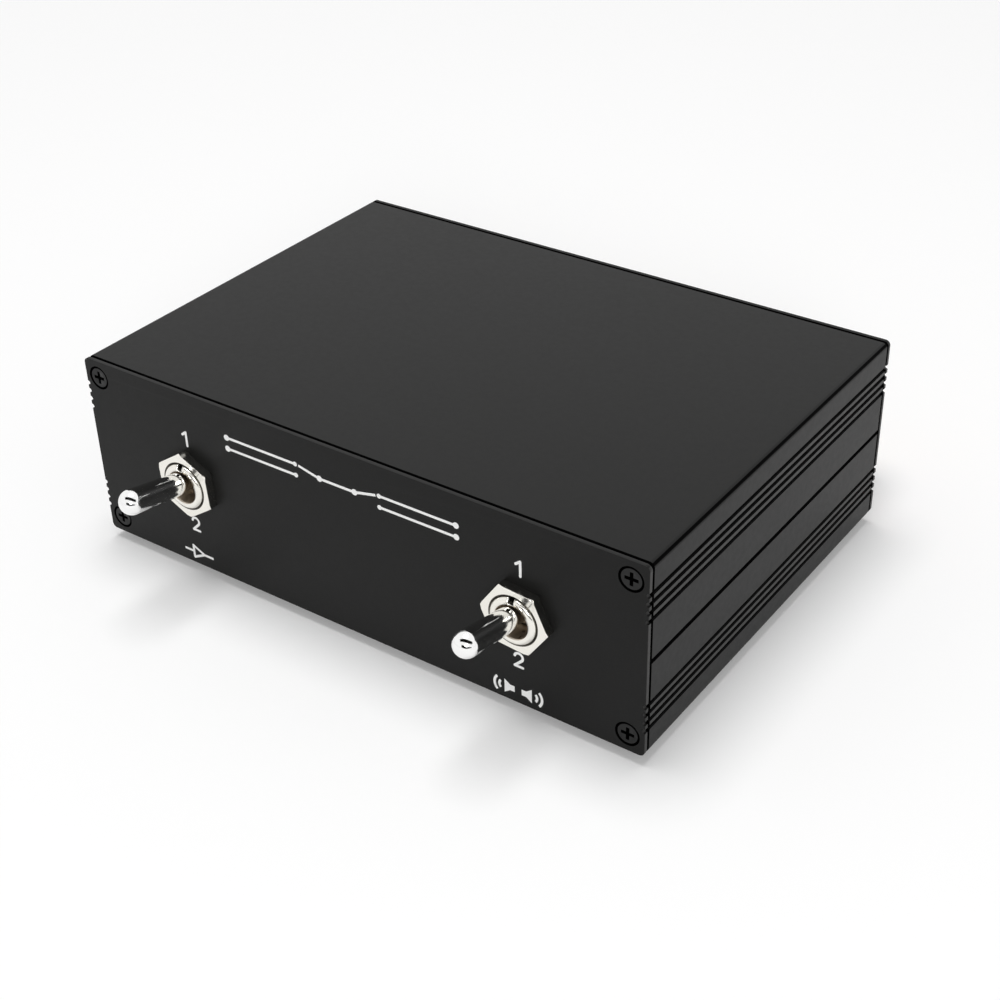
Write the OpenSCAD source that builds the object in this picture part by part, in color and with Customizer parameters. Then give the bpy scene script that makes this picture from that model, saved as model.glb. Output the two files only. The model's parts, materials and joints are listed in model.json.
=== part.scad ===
// Two-way amplifier and loudspeaker selector in a split aluminium extrusion.
// Millimetres. X runs to the right, Y to the back and Z up. The origin lies on the
// ground under the middle of the whole selector. Pieces are drawn from the outside
// face of the front panel (y = 0) and the underside of the case (z = 0).

/* [Case] */
// Width of the case over its sides
case_w = 145; // [140:1:180]
// Height of the case without its feet
case_h = 45; // [44:1:60]
// Length of the two extruded shells
shell_len = 100; // [96:1:140]
// Wall of the shells
wall = 1.8; // [1.6:0.1:2.4]
// Thickness of the front and rear panels
panel_t = 1.2; // [1:0.1:1.6]
// Radius of the long outer edges
edge_r = 1.2; // [0.5:0.1:2]
// Gap between the two shells where they lap
lap_gap = 0.1; // [0.05:0.05:0.3]
// Height of the lap joint in each side
lap_h = 2.4; // [1.6:0.2:4]
// Depth of the V-shaped seam between the shells
seam_depth = 0.8; // [0.4:0.1:1]
// Height of the seam at the surface
seam_h = 0.8; // [0.4:0.1:1.6]
// Wall behind the grooves in the sides
groove_wall = 1.6; // [1.3:0.1:2]

/* [Side grooves] */
// Number of grooves in each group
groove_count = 4; // [2:1:5]
// Distance from one groove to the next
groove_pitch = 2; // [1.6:0.1:2.4]
// Width of a groove
groove_w = 1.1; // [0.8:0.1:1.4]
// Depth of a groove
groove_depth = 0.6; // [0.6:0.1:0.9]
// Distance of the outermost groove from the top or bottom edge
groove_from_edge = 6.4; // [5.4:0.1:8]

/* [Panel screws] */
// Distance of a screw from the side of the case
screw_from_side = 3.9; // [3.7:0.1:6]
// Distance of a screw from the top or bottom of the case
screw_from_edge = 4.1; // [3.7:0.1:6]
// Radius of the countersunk head
screw_head_r = 2.5; // [2.3:0.1:2.8]
// Width of the ring that the countersink leaves round the head
screw_ring = 0.3; // [0.1:0.05:0.3]
// Depth of the head under the panel's face
screw_sunk = 0.1; // [0:0.05:0.15]
// Radius of the screw's shank
screw_r = 1.25; // [1:0.05:1.4]
// Length of the screw
screw_len = 10; // [6:1:16]
// Clearance between a screw and its hole
screw_gap = 0.05; // [0.02:0.01:0.1]

/* [Feet] */
// Radius of a foot
foot_r = 5.5; // [4:0.5:8]
// Height of a foot
foot_h = 2.5; // [1.5:0.5:5]
// Distance of a foot's centre from the side and the end of the shells
foot_inset = 14; // [12:1:24]

/* [Toggle switches] */
// Distance between the two switches
switch_pitch = 87.4; // [80:0.2:92]
// Radius of the switch bushing
bushing_r = 5.5; // [5.4:0.1:6]
// How far the bushing stands out of the front panel
bushing_out = 3; // [2.8:0.1:3.6]
// How far the bushing reaches behind the panel's front face
bushing_in = 8.9; // [8:0.1:11]
// Radius of the bushing's mouth
mouth_r = 4; // [3.8:0.1:4.2]
// Width of the nuts over their flats
nut_af = 14; // [13.6:0.2:15]
// Thickness of a nut
nut_t = 2.3; // [1.6:0.1:2.5]
// Turn of the nut on the left switch
left_nut_turn = 34; // [0:1:59]
// Turn of the nut on the right switch
right_nut_turn = 55; // [0:1:59]
// Width of the keyway in the bushing
keyway_w = 1.3; // [0.8:0.1:1.6]
// Depth of the keyway in the bushing
keyway_depth = 1.2; // [0.6:0.1:1.3]

/* [Levers] */
// Angle of a lever above the switch axis
lever_angle = 11.5; // [8:0.5:12]
// Depth of the pivot behind the panel's front face
pivot_depth = 3.2; // [3:0.1:3.6]
// Radius of the lever's ball
ball_r = 3.5; // [3.2:0.05:3.6]
// Running clearance of the ball and its pin
pivot_gap = 0.06; // [0.03:0.01:0.1]
// Radius of the pivot pin
pin_r = 0.75; // [0.5:0.05:1]
// Radius of the lever's neck
neck_r = 2; // [1.6:0.1:2.1]
// Distance from the pivot to the lever's shoulder
shoulder_at = 7.2; // [7.1:0.1:8]
// Radius of the lever at its shoulder
lever_root_r = 2.55; // [2.4:0.05:2.9]
// Radius of the lever's rounded tip
lever_tip_r = 2.85; // [2.6:0.05:3.4]
// Distance from the pivot to the centre of the rounded tip
lever_len = 20.9; // [16:0.1:26]

/* [Contacts] */
// Distance between poles
pole_pitch = 8; // [7.6:0.1:8.4]
// Distance between the common row and an outer row of terminals
row_offset = 8; // [7:0.1:8.5]
// Height of the switch base
base_h = 28; // [26:0.5:30]
// Depth of the switch base
base_d = 17.8; // [17.4:0.1:20]
// Wall of the switch base
base_wall = 1.6; // [1.2:0.1:2]
// Thickness of the base's rear wall
base_back = 2.8; // [2:0.1:3.4]
// Thickness of the switch frame
frame_t = 1; // [0.8:0.1:1.2]
// Distance from the pivot to the front of the plunger carrier
carrier_from = 8.8; // [8.6:0.1:9.4]
// Distance from the pivot to the back of the plunger carrier
carrier_to = 15; // [14:0.1:15.4]
// Height of the plunger carrier
carrier_h = 7; // [5:0.1:8]
// Radius of a plunger
plunger_r = 1.2; // [1:0.05:1.4]
// Distance from the pivot to the tip of a plunger
plunger_tip = 17.6; // [17.2:0.1:17.8]
// Length of a plunger
plunger_len = 5.4; // [4.5:0.1:6]
// Radius of the wire of a plunger spring
spring_wire_r = 0.2; // [0.15:0.01:0.25]
// Turns of a plunger spring
spring_turns = 3; // [2:1:3]
// Thickness of a rocking contact
rocker_t = 0.6; // [0.5:0.1:0.8]
// Radius of the rib that a rocking contact tips on
rocker_rib_r = 0.45; // [0.3:0.05:0.45]
// Width of a rocking contact
rocker_w = 6.2; // [5:0.1:6.4]
// Length of each wing of a rocking contact
rocker_wing = 8.6; // [8:0.1:9]
// Angle of each wing of a rocking contact
rocker_dish = 12.5; // [12:0.5:14]
// Angle of a rocking contact at either end of its travel
rocker_tilt = 8.5; // [7:0.5:9]
// Clearance between moving contact pieces
contact_gap = 0.1; // [0.05:0.01:0.2]
// Thickness of a solder lug
lug_t = 0.8; // [0.6:0.1:1]
// Width of a solder lug
lug_w = 2.4; // [1.6:0.1:2.6]
// Length of a solder lug behind the base
lug_out = 6.5; // [5:0.1:8]

/* [Binding posts] */
// Distance of the outermost column of posts from the middle
outer_column = 59; // [57:0.5:60]
// Distance between the two channels of one port
channel_pitch = 16; // [14:0.5:16.5]
// Distance between the two ports on one side
port_pitch = 34; // [33:0.5:35]
// Height of the upper row of posts over the underside of the case
upper_row = 27.4; // [27:0.2:34]
// Distance between the upper and the lower row of posts
post_row_pitch = 16.4; // [15.6:0.2:20]
// Radius of the stud that carries the cap
stud_r = 3; // [2.8:0.1:3.2]
// Radius of the banana plug's hole
banana_r = 2; // [1.95:0.05:2.1]
// Depth of the banana plug's hole
banana_depth = 10; // [8:0.5:11]
// Radius of the cross hole for a bare wire
wire_hole_r = 1.25; // [0.8:0.05:1.4]
// Radius of the stud's inner end
tail_r = 2; // [1.5:0.1:2.2]
// Length of the stud's inner end behind the rear panel's inside
tail_len = 6.8; // [6:0.1:9]
// Thickness of the outer insulator
insulator_t = 3; // [2:0.1:4]
// Thickness of the inner insulator
washer_t = 1.5; // [1:0.1:2]
// Radius of both insulators
insulator_r = 5.6; // [5:0.1:6]
// Radius of the stud's flange
flange_r = 4.6; // [4:0.1:5]
// Thickness of the stud's flange
flange_t = 0.9; // [0.6:0.1:1.2]
// Radius of a cap
cap_r = 5.5; // [5:0.1:6]
// Length of a cap
cap_len = 15; // [14.5:0.1:18]
// Wall of the threaded insert in a cap
insert_wall = 0.9; // [0.7:0.1:1.2]
// Running clearance of the insert on the stud
thread_gap = 0.06; // [0.03:0.01:0.1]
// Number of flutes round a cap
flutes = 8; // [6:1:12]
// Radius of a flute
flute_r = 0.8; // [0.4:0.1:1]

/* [Wiring] */
// Radius of the hook-up wire
wire_r = 0.9; // [0.6:0.05:0.95]
// Radius of a bend in the wire
bend_r = 3; // [2:0.5:4]
// Distance between neighbouring lanes of the loom
lane_pitch = 2.6; // [2.3:0.1:2.8]
// Distance between neighbouring lanes of the links
link_pitch = 2.4; // [2.2:0.1:2.6]
// Clearance of a wire beside its solder lug
solder_gap = 0.05; // [0.02:0.01:0.1]

/* [Hidden] */
eps = 0.02;
fine = 48;
// Two channels with two wires each make four poles in a switch.
poles = 4;
rear_y = shell_len + 2 * panel_t;
mid_z = case_h / 2;
half_w = case_w / 2;
screw_x = half_w - screw_from_side;
screw_dz = mid_z - screw_from_edge;
boss_r = screw_r + screw_gap + 1.3;
screw_hole_r = screw_r + screw_gap;
neck_hole_r = screw_r + 0.35;
side_wall = groove_depth + groove_wall;
lap_t = (side_wall - seam_depth) / 2;

// Plungers, rocking contacts and fixed contacts, measured from the front face.
plunger_back = plunger_tip - plunger_len;
tip_swing_r = plunger_tip - plunger_r;
swing_steps = 20;
// How far behind a plunger's arc the contact's middle lies, so that the wing clears the tip at angle a.
function wing_angle(a) = rocker_dish - rocker_tilt * a / lever_angle;
function wing_room(a) = (plunger_r + rocker_t + contact_gap / 2 + tip_swing_r * sin(a) * sin(wing_angle(a)))
    / cos(wing_angle(a)) - tip_swing_r * (1 - cos(a));
fulcrum_y = pivot_depth + tip_swing_r
    + max([for (k = [0 : swing_steps]) wing_room(k * lever_angle / swing_steps)]);
rest_dish = rocker_dish - rocker_tilt;
saddle_w = rocker_w - 1.2;
saddle_h = 2 * rocker_rib_r + 0.7;
contact_y = fulcrum_y - (row_offset - 1.4) * tan(rest_dish) + contact_gap;
base_y = bushing_in + frame_t + eps;
base_half_w = (poles - 1) * pole_pitch / 2 + 5;
base_back_y = base_y + base_d;
cavity_back_y = base_back_y - base_back;
lug_end_y = base_back_y + lug_out;
frame_lip = 1.4;
eyelet_r = 0.6;
tail_rod_r = 1.6;
cross_len = 3;
cross_w = 0.75;
cross_depth = 0.85;
tail_rod_end = carrier_to - 2.2;
spring_room = 2.5;
throat_r = neck_r + (pivot_depth - 0.9) * tan(lever_angle) + 0.3;

// Binding posts, measured from the outside of the rear panel.
post_y = rear_y;
flange_y = insulator_t;
cap_y = flange_y + flange_t + 0.15;
stud_out = cap_y + cap_len - 1.8;
cap_out = cap_y + cap_len;
insert_r = stud_r + thread_gap + insert_wall;
tip_ring_r = cap_r - 1.1;
collar_r = stud_r + 1;
tag_t = 0.5;
tag_r = tail_r + 1.4;
tag_reach = 5.8;
tag_bend = 5;
tag_w = 2.6;
thin_nut_t = 2.4;
thin_nut_af = 7;
tag_y = panel_t + washer_t;

// The whole selector stands on the ground with its middle over the origin.
lever_out = lever_len * cos(lever_angle) + lever_tip_r - pivot_depth;
front_y = -(rear_y + cap_out - lever_out) / 2;

// Wiring. The speaker side mirrors the amplifier side.
link_y = base_back_y + lug_out + 4;
loom_y = link_y + poles * link_pitch + 2;
loom_rank = [0, 1, 2, 3, 5, 4, 7, 6];

sides = ["amp", "speaker"];
ports = ["a", "b"];
channels = ["left", "right"];
colours = ["red", "black"];
post_ids = [for (s = [0, 1]) for (p = [0, 1]) for (c = [0, 1]) for (k = [0, 1]) [s, p, c, k]];
function post_name(id) = str(sides[id[0]], "_", ports[id[1]], "_", channels[id[2]], "_", colours[id[3]]);
function side_sign(s) = s == 0 ? -1 : 1;
function post_x(id) = side_sign(id[0]) * (outer_column - id[1] * port_pitch - id[2] * channel_pitch);
function post_z(id) = upper_row - id[3] * post_row_pitch;

// ---------- placing ----------

module in_case() {
    translate([0, front_y, foot_h]) children();
}

module at_switch(s) {
    in_case() translate([side_sign(s) * switch_pitch / 2, 0, mid_z]) children();
}

// The lever's frame: its axis is X, running inwards from the pivot.
module on_lever(s) {
    at_switch(s) translate([0, pivot_depth, 0]) rotate([-lever_angle, 0, 0]) rotate([0, 0, 90]) children();
}

// The post's frame: its axis is Z, running outwards from the rear panel's outside.
module at_post(id) {
    in_case() translate([post_x(id), post_y, post_z(id)]) rotate([-90, 0, 0]) children();
}

module each_screw() {
    for (sx = [-1, 1]) for (sz = [-1, 1]) translate([sx * screw_x, mid_z + sz * screw_dz]) children();
}

module along_y(from, to) {
    translate([0, to, 0]) rotate([90, 0, 0]) linear_extrude(to - from) children();
}

// ---------- case ----------

module rounded_rect(w, h, r) {
    square([w - 2 * r, h], center = true);
    square([w, h - 2 * r], center = true);
    for (x = [-1, 1]) for (y = [-1, 1]) translate([x * (w / 2 - r), y * (h / 2 - r)]) circle(r, $fn = fine);
}

module groove() {
    reach = groove_depth - groove_w / 2;
    translate([-reach, -groove_w / 2]) square([reach + 1, groove_w]);
    translate([-reach, 0]) circle(groove_w / 2, $fn = fine);
}

// Outline that the extrusion and both panels share, seen from the front.
module case_outline() {
    difference() {
        translate([0, mid_z]) rounded_rect(case_w, case_h, edge_r);
        for (sx = [0, 1]) mirror([sx, 0]) translate([half_w, 0]) for (i = [0 : groove_count - 1]) {
            translate([0, groove_from_edge + i * groove_pitch]) groove();
            translate([0, case_h - groove_from_edge - i * groove_pitch]) groove();
        }
    }
}

module seams() {
    for (sx = [0, 1]) mirror([sx, 0]) translate([half_w, mid_z])
        polygon([[-seam_depth, 0], [0, -seam_h / 2], [1, -seam_h / 2], [1, seam_h / 2], [0, seam_h / 2]]);
}

module shell_section() {
    difference() {
        intersection() {
            case_outline();
            union() {
                translate([-half_w, mid_z + lap_gap / 2]) square([case_w, case_h]);
                translate([half_w - side_wall, mid_z - lap_h]) square([lap_t, lap_h + 1]);
            }
        }
        seams();
        translate([-half_w + side_wall, 0]) square([case_w - 2 * side_wall, case_h - wall]);
        translate([-half_w + side_wall - lap_t - lap_gap, 0])
            square([lap_t + lap_gap + 1, mid_z + lap_h + lap_gap]);
    }
    // Screw channels in the two corners, open towards the inside.
    for (sx = [-1, 1]) translate([sx * screw_x, mid_z + screw_dz]) {
        difference() {
            union() {
                circle(boss_r, $fn = fine);
                translate([sx > 0 ? 0 : -boss_r, -boss_r]) square([boss_r, 2 * boss_r]);
                translate([-boss_r, 0]) square([2 * boss_r, screw_from_edge - wall + eps]);
            }
            circle(screw_hole_r, $fn = fine);
            rotate(sx > 0 ? 225 : -45) translate([0, -0.5]) square([2 * boss_r, 1]);
        }
    }
    // Guide rails on the inside of the sides, as cast with the extrusion.
    for (sx = [-1, 1]) for (z = [11, 13.4]) translate([sx * (half_w - side_wall - 0.7), case_h - z])
        square([1.5, 0.9], center = true);
}

module upper_shell() {
    color([0.16, 0.16, 0.16]) in_case() along_y(panel_t, panel_t + shell_len) difference() {
        shell_section();
        each_screw() circle(screw_hole_r, $fn = fine);
    }
}

module lower_shell() {
    color([0.16, 0.16, 0.16]) in_case() translate([0, 0, mid_z]) rotate([0, 180, 0]) translate([0, 0, -mid_z])
        along_y(panel_t, panel_t + shell_len) shell_section();
}

// Countersunk head of a panel screw. Its top is at the given height, and its rim is wider by the given ring.
module screw_cone(top, ring) {
    neck = neck_hole_r - screw_gap + min(ring, screw_gap);
    rotate_extrude($fn = fine) polygon([
        [0, top], [screw_head_r + ring, top], [screw_head_r + ring, screw_sunk + 0.1],
        [neck, panel_t - 0.1], [0, panel_t - 0.1]]);
}

module at_each_screw() {
    for (sx = [-1, 1]) for (sz = [-1, 1]) translate([sx * screw_x, 0, mid_z + sz * screw_dz])
        rotate([-90, 0, 0]) children();
}

module panel() {
    difference() {
        along_y(0, panel_t) difference() {
            case_outline();
            each_screw() circle(neck_hole_r, $fn = fine);
            children();
        }
        at_each_screw() screw_cone(-0.1, screw_ring);
    }
}

module front_panel() {
    color([0.15, 0.15, 0.15]) in_case() panel() for (s = [0, 1])
        translate([side_sign(s) * switch_pitch / 2, mid_z]) circle(bushing_r + 0.1, $fn = fine);
}

module rear_panel() {
    color([0.15, 0.15, 0.15]) in_case() translate([0, rear_y, 0]) rotate([0, 0, 180])
        panel() for (id = post_ids) translate([post_x(id), post_z(id)]) circle(collar_r, $fn = fine);
}

module panel_screw() {
    difference() {
        union() {
            screw_cone(screw_sunk, 0);
            translate([0, 0, 2 * screw_sunk]) cylinder(r = screw_r, h = screw_len, $fn = fine);
        }
        for (a = [0, 90]) rotate(a) translate([-cross_len / 2, -cross_w / 2, -1])
            cube([cross_len, cross_w, 1 + cross_depth]);
    }
}

module panel_screws() {
    color([0.1, 0.1, 0.1]) in_case() for (end = [0, 1])
        translate([0, end * rear_y, 0]) rotate([0, 0, end * 180]) at_each_screw() panel_screw();
}

module feet() {
    color([0.08, 0.08, 0.08]) in_case() for (sx = [-1, 1]) for (y = [foot_inset, shell_len - foot_inset])
        translate([sx * (half_w - foot_inset), panel_t + y, -foot_h]) rotate_extrude($fn = fine)
            polygon([[0, 0], [foot_r - 1, 0], [foot_r - 0.4, 0.5], [foot_r, foot_h], [0, foot_h]]);
}

// ---------- toggle switches ----------

// Hexagon nut with slightly broken corners and a small chamfer at its bore.
module hex_nut(af, t, bore_r) {
    corner_r = af / 2 / cos(30);
    chamfer = 0.25;
    difference() {
        intersection() {
            cylinder(r = corner_r, h = t, $fn = 6);
            rotate_extrude($fn = fine) polygon([[0, 0], [corner_r, 0], [corner_r, t - chamfer],
                [corner_r - 2 * chamfer, t], [0, t]]);
        }
        rotate_extrude($fn = fine) polygon([[0, -1], [bore_r, -1], [bore_r, t - chamfer],
            [bore_r + chamfer + 0.1, t + 0.1], [0, t + 0.1]]);
    }
}

module switch_nuts() {
    color([0.82, 0.8, 0.76]) for (s = [0, 1]) at_switch(s) {
        rotate([90, 0, 0]) rotate(s == 0 ? left_nut_turn : right_nut_turn)
            hex_nut(nut_af, nut_t, bushing_r + eps);
        translate([0, panel_t, 0]) rotate([-90, 0, 0]) hex_nut(nut_af, nut_t, bushing_r + eps);
    }
}

module bushing(s) {
    seat_r = ball_r + pivot_gap;
    arm_z = base_h / 2 + eps;
    color([0.8, 0.78, 0.74]) at_switch(s) difference() {
        union() {
            rotate([-90, 0, 0]) rotate_extrude($fn = fine) polygon([
                [mouth_r, -bushing_out], [bushing_r - 0.6, -bushing_out], [bushing_r, -bushing_out + 0.6],
                [bushing_r, bushing_in], [seat_r, bushing_in], [seat_r, 1.7], [throat_r, 0.9],
                [mouth_r - 0.35, -bushing_out + 1.2]]);
            difference() {
                translate([-base_half_w, bushing_in, -arm_z - frame_t])
                    cube([2 * base_half_w, frame_t, 2 * (arm_z + frame_t)]);
                rotate([-90, 0, 0]) cylinder(r = seat_r, h = bushing_in + 2 * frame_t, $fn = fine);
            }
            for (side = [0, 1]) mirror([0, 0, side]) {
                translate([-base_half_w / 2, bushing_in, arm_z])
                    cube([base_half_w, base_d + 2 * frame_t + 2 * eps, frame_t]);
                translate([-base_half_w / 2, base_back_y + eps, arm_z - frame_lip])
                    cube([base_half_w, frame_t, frame_lip + frame_t]);
            }
        }
        translate([-keyway_w / 2, -bushing_out - 1, bushing_r - keyway_depth])
            cube([keyway_w, bushing_out + bushing_in, keyway_depth + 1]);
        translate([0, pivot_depth, 0]) rotate([0, 90, 0])
            cylinder(r = pin_r + pivot_gap, h = 2 * bushing_r + 2, center = true, $fn = fine);
    }
}

module lever(s) {
    color([0.85, 0.85, 0.86]) {
        on_lever(s) rotate([0, -90, 0]) {
            rotate_extrude($fn = fine) polygon([
                [0, -tail_rod_end], [tail_rod_r, -tail_rod_end], [tail_rod_r, 0], [neck_r, 0],
                [neck_r, shoulder_at], [lever_root_r - 0.2, shoulder_at], [lever_root_r, shoulder_at + 0.35],
                [lever_tip_r, lever_len], [0, lever_len]]);
            sphere(ball_r, $fn = fine);
            translate([0, 0, lever_len]) sphere(lever_tip_r, $fn = fine);
        }
        at_switch(s) translate([0, pivot_depth, 0]) rotate([0, 90, 0])
            cylinder(r = pin_r, h = 2 * bushing_r - 0.6, center = true, $fn = fine);
    }
}

module each_pole() {
    for (i = [0 : poles - 1]) translate([(i - (poles - 1) / 2) * pole_pitch, 0, 0]) children();
}

// In the lever's frame the poles lie along -Y.
module each_plunger() {
    for (i = [0 : poles - 1])
        translate([0, (i - (poles - 1) / 2) * pole_pitch, 0]) rotate([0, 90, 0]) children();
}

module carrier(s) {
    w = (poles - 1) * pole_pitch + 2 * plunger_r + 2.6;
    color([0.12, 0.12, 0.13]) on_lever(s) difference() {
        translate([carrier_from, -w / 2, -carrier_h / 2]) cube([carrier_to - carrier_from, w, carrier_h]);
        rotate([0, 90, 0]) cylinder(r = tail_rod_r + eps, h = tail_rod_end + eps, $fn = fine);
        each_plunger() translate([0, 0, plunger_back - spring_room])
            cylinder(r = plunger_r + pivot_gap, h = carrier_to, $fn = fine);
    }
}

module plungers(s) {
    color([0.8, 0.68, 0.35]) on_lever(s) each_plunger() {
        translate([0, 0, plunger_back]) cylinder(r = plunger_r, h = plunger_len - plunger_r, $fn = fine);
        translate([0, 0, tip_swing_r]) sphere(plunger_r, $fn = fine);
    }
}

module springs(s) {
    steps = 8;
    rise = spring_room - 2 * spring_wire_r - 2 * eps;
    r = plunger_r - spring_wire_r - eps;
    pts = [for (k = [0 : spring_turns * steps])
        [r * cos(k * 360 / steps), r * sin(k * 360 / steps), rise * k / (spring_turns * steps)]];
    color([0.7, 0.7, 0.72]) on_lever(s) each_plunger()
        translate([0, 0, plunger_back - spring_room + spring_wire_r + eps]) tube(pts, spring_wire_r, 4);
}

// Each rocking contact has a round rib on its back, which lies in a saddle on the middle terminal.
module rockers(s) {
    color([0.8, 0.5, 0.3]) at_switch(s) each_pole() translate([0, fulcrum_y, 0]) rotate([rocker_tilt, 0, 0]) {
        for (side = [0, 1]) mirror([0, 0, side]) intersection() {
            rotate([rocker_dish, 0, 0]) translate([-rocker_w / 2, -rocker_t, -1])
                cube([rocker_w, rocker_t, rocker_wing + 1]);
            translate([-rocker_w, -10, 0]) cube([2 * rocker_w, 20, 20]);
        }
        rocker_rib(rocker_rib_r, saddle_w);
    }
}

module rocker_rib(r, length) {
    rotate([0, 90, 0]) cylinder(r = r, h = length, center = true, $fn = fine);
}

module base(s) {
    rib = pole_pitch - rocker_w - 0.6;
    color([0.35, 0.12, 0.08]) at_switch(s) difference() {
        translate([-base_half_w, base_y, -base_h / 2]) cube([2 * base_half_w, base_d, base_h]);
        difference() {
            translate([-base_half_w + base_wall, base_y - 1, -base_h / 2 + base_wall])
                cube([2 * (base_half_w - base_wall), cavity_back_y - base_y + 1, base_h - 2 * base_wall]);
            for (i = [1 : poles - 1])
                translate([(i - poles / 2) * pole_pitch - rib / 2, fulcrum_y - 2, -base_h / 2])
                    cube([rib, base_back + 10, base_h]);
        }
        each_pole() for (row = [-1, 0, 1])
            translate([-lug_t / 2 - eps, cavity_back_y - 1, row * row_offset - lug_w / 2 - eps])
                cube([lug_t + 2 * eps, base_back + 2, lug_w + 2 * eps]);
    }
}

module switch_terminals() {
    color([0.82, 0.8, 0.74]) for (s = [0, 1]) at_switch(s) each_pole() for (row = [-1, 0, 1]) {
        difference() {
            translate([-lug_t / 2, cavity_back_y - eps, row * row_offset - lug_w / 2])
                cube([lug_t, base_back + lug_out + eps, lug_w]);
            translate([-1, lug_end_y - 1.6, row * row_offset]) rotate([0, 90, 0])
                cylinder(r = eyelet_r, h = 2, $fn = fine);
        }
        if (row == 0) difference() {
            translate([-saddle_w / 2, fulcrum_y + contact_gap / 2, -saddle_h / 2])
                cube([saddle_w, cavity_back_y - fulcrum_y - contact_gap / 2, saddle_h]);
            translate([0, fulcrum_y, 0]) rocker_rib(rocker_rib_r + contact_gap / 2, saddle_w + 1);
        } else
            translate([0, contact_y, row * row_offset]) rotate([-90, 0, 0])
                cylinder(r = 1.4, h = cavity_back_y - contact_y, $fn = fine);
    }
}

// ---------- binding posts ----------

module post_insulators() {
    for (id = post_ids) color(id[3] == 0 ? [0.6, 0.06, 0.05] : [0.08, 0.08, 0.08]) at_post(id) {
        rotate_extrude($fn = fine) polygon([
            [stud_r + eps, -panel_t + eps], [collar_r - eps, -panel_t + eps], [collar_r - eps, 0],
            [insulator_r, 0], [insulator_r, insulator_t - 0.6], [insulator_r - 0.6, insulator_t],
            [stud_r + eps, insulator_t]]);
        translate([0, 0, -tag_y]) difference() {
            cylinder(r = insulator_r, h = washer_t, $fn = fine);
            translate([0, 0, -1]) cylinder(r = tail_r + eps, h = washer_t + 2, $fn = fine);
        }
    }
}

module post_studs() {
    for (id = post_ids) color([0.85, 0.68, 0.32]) at_post(id) difference() {
        union() {
            translate([0, 0, -panel_t - tail_len]) cylinder(r = tail_r, h = tail_len + 1, $fn = fine);
            translate([0, 0, -panel_t + eps]) cylinder(r = stud_r, h = stud_out + panel_t - eps, $fn = fine);
            translate([0, 0, flange_y]) cylinder(r = flange_r, h = flange_t, $fn = fine);
        }
        translate([0, 0, stud_out - banana_depth]) cylinder(r = banana_r, h = banana_depth + 1, $fn = fine);
        translate([0, 0, cap_y + wire_hole_r + 0.1]) rotate([90, 0, 0])
            cylinder(r = wire_hole_r, h = 2 * flange_r, center = true, $fn = fine);
    }
}

module post_nuts() {
    color([0.8, 0.78, 0.72]) for (id = post_ids) at_post(id)
        translate([0, 0, -tag_y - tag_t]) rotate([180, 0, 0]) hex_nut(thin_nut_af, thin_nut_t, tail_r + eps);
}

module solder_tags() {
    color([0.82, 0.8, 0.74]) for (id = post_ids) at_post(id) mirror([0, id[3] == 0 ? 0 : 1, 0])
        translate([0, 0, -tag_y - tag_t]) {
            difference() {
                union() {
                    cylinder(r = tag_r, h = tag_t, $fn = fine);
                    translate([-tag_w / 2, 0, 0]) cube([tag_w, tag_reach + tag_t / 2, tag_t]);
                }
                translate([0, 0, -1]) cylinder(r = tail_r + eps, h = 3, $fn = fine);
            }
            translate([-tag_w / 2, tag_reach - tag_t / 2, -tag_bend]) cube([tag_w, tag_t, tag_bend + eps]);
        }
}

module cap_insert(id) {
    color([0.85, 0.68, 0.32]) at_post(id) rotate_extrude($fn = fine) polygon([
        [stud_r + thread_gap, cap_y], [insert_r, cap_y], [insert_r, cap_out - 1],
        [tip_ring_r, cap_out - 1], [tip_ring_r, cap_out], [banana_r + 0.4, cap_out],
        [banana_r + 0.4, stud_out + 0.3], [stud_r + thread_gap, stud_out + 0.3]]);
}

module cap(id) {
    color(id[3] == 0 ? [0.6, 0.06, 0.05] : [0.08, 0.08, 0.08]) at_post(id) difference() {
        rotate_extrude($fn = fine) polygon([
            [insert_r + thread_gap, cap_y], [cap_r - 0.5, cap_y], [cap_r, cap_y + 0.5],
            [cap_r, cap_out - 1.2], [cap_r - 0.8, cap_out - 0.1], [tip_ring_r + thread_gap, cap_out - 0.1],
            [tip_ring_r + thread_gap, cap_out - 1 - thread_gap],
            [insert_r + thread_gap, cap_out - 1 - thread_gap]]);
        for (i = [0 : flutes - 1]) rotate(i * 360 / flutes) translate([cap_r + flute_r * 0.4, 0, cap_y + 2])
            cylinder(r = flute_r, h = cap_len, $fn = fine);
    }
}

// ---------- wiring ----------

function unit(v) = v / norm(v);

// Carries a direction at right angles to the path from one point to the next.
function carried(pts, k, n) =
    let (t = unit(pts[min(k + 1, len(pts) - 1)] - pts[max(k - 1, 0)]), m = n - (n * t) * t) unit(m);
function frames(pts, n0) = [for (k = 0, n = carried(pts, 0, n0); k < len(pts); k = k + 1,
    n = k < len(pts) ? carried(pts, k, n) : n) n];

// Round tube along a list of points, closed by flat ends.
module tube(pts, r, sides_n) {
    n0 = abs(unit(pts[1] - pts[0]) * [1, 0, 0]) > 0.9 ? [0, 1, 0] : [1, 0, 0];
    ns = frames(pts, n0);
    last = len(pts) - 1;
    rings = [for (k = [0 : last])
        let (t = unit(pts[min(k + 1, last)] - pts[max(k - 1, 0)]), b = cross(t, ns[k]))
        for (a = [0 : 360 / sides_n : 359]) pts[k] + r * (cos(a) * ns[k] + sin(a) * b)];
    walls = [for (k = [0 : last - 1]) for (j = [0 : sides_n - 1])
        let (a = k * sides_n + j, b = k * sides_n + (j + 1) % sides_n) each
        [[a, b + sides_n, b], [a, a + sides_n, b + sides_n]]];
    caps = [[for (j = [0 : sides_n - 1]) j], [for (j = [sides_n - 1 : -1 : 0]) last * sides_n + j]];
    polyhedron(rings, concat(walls, caps));
}

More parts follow.
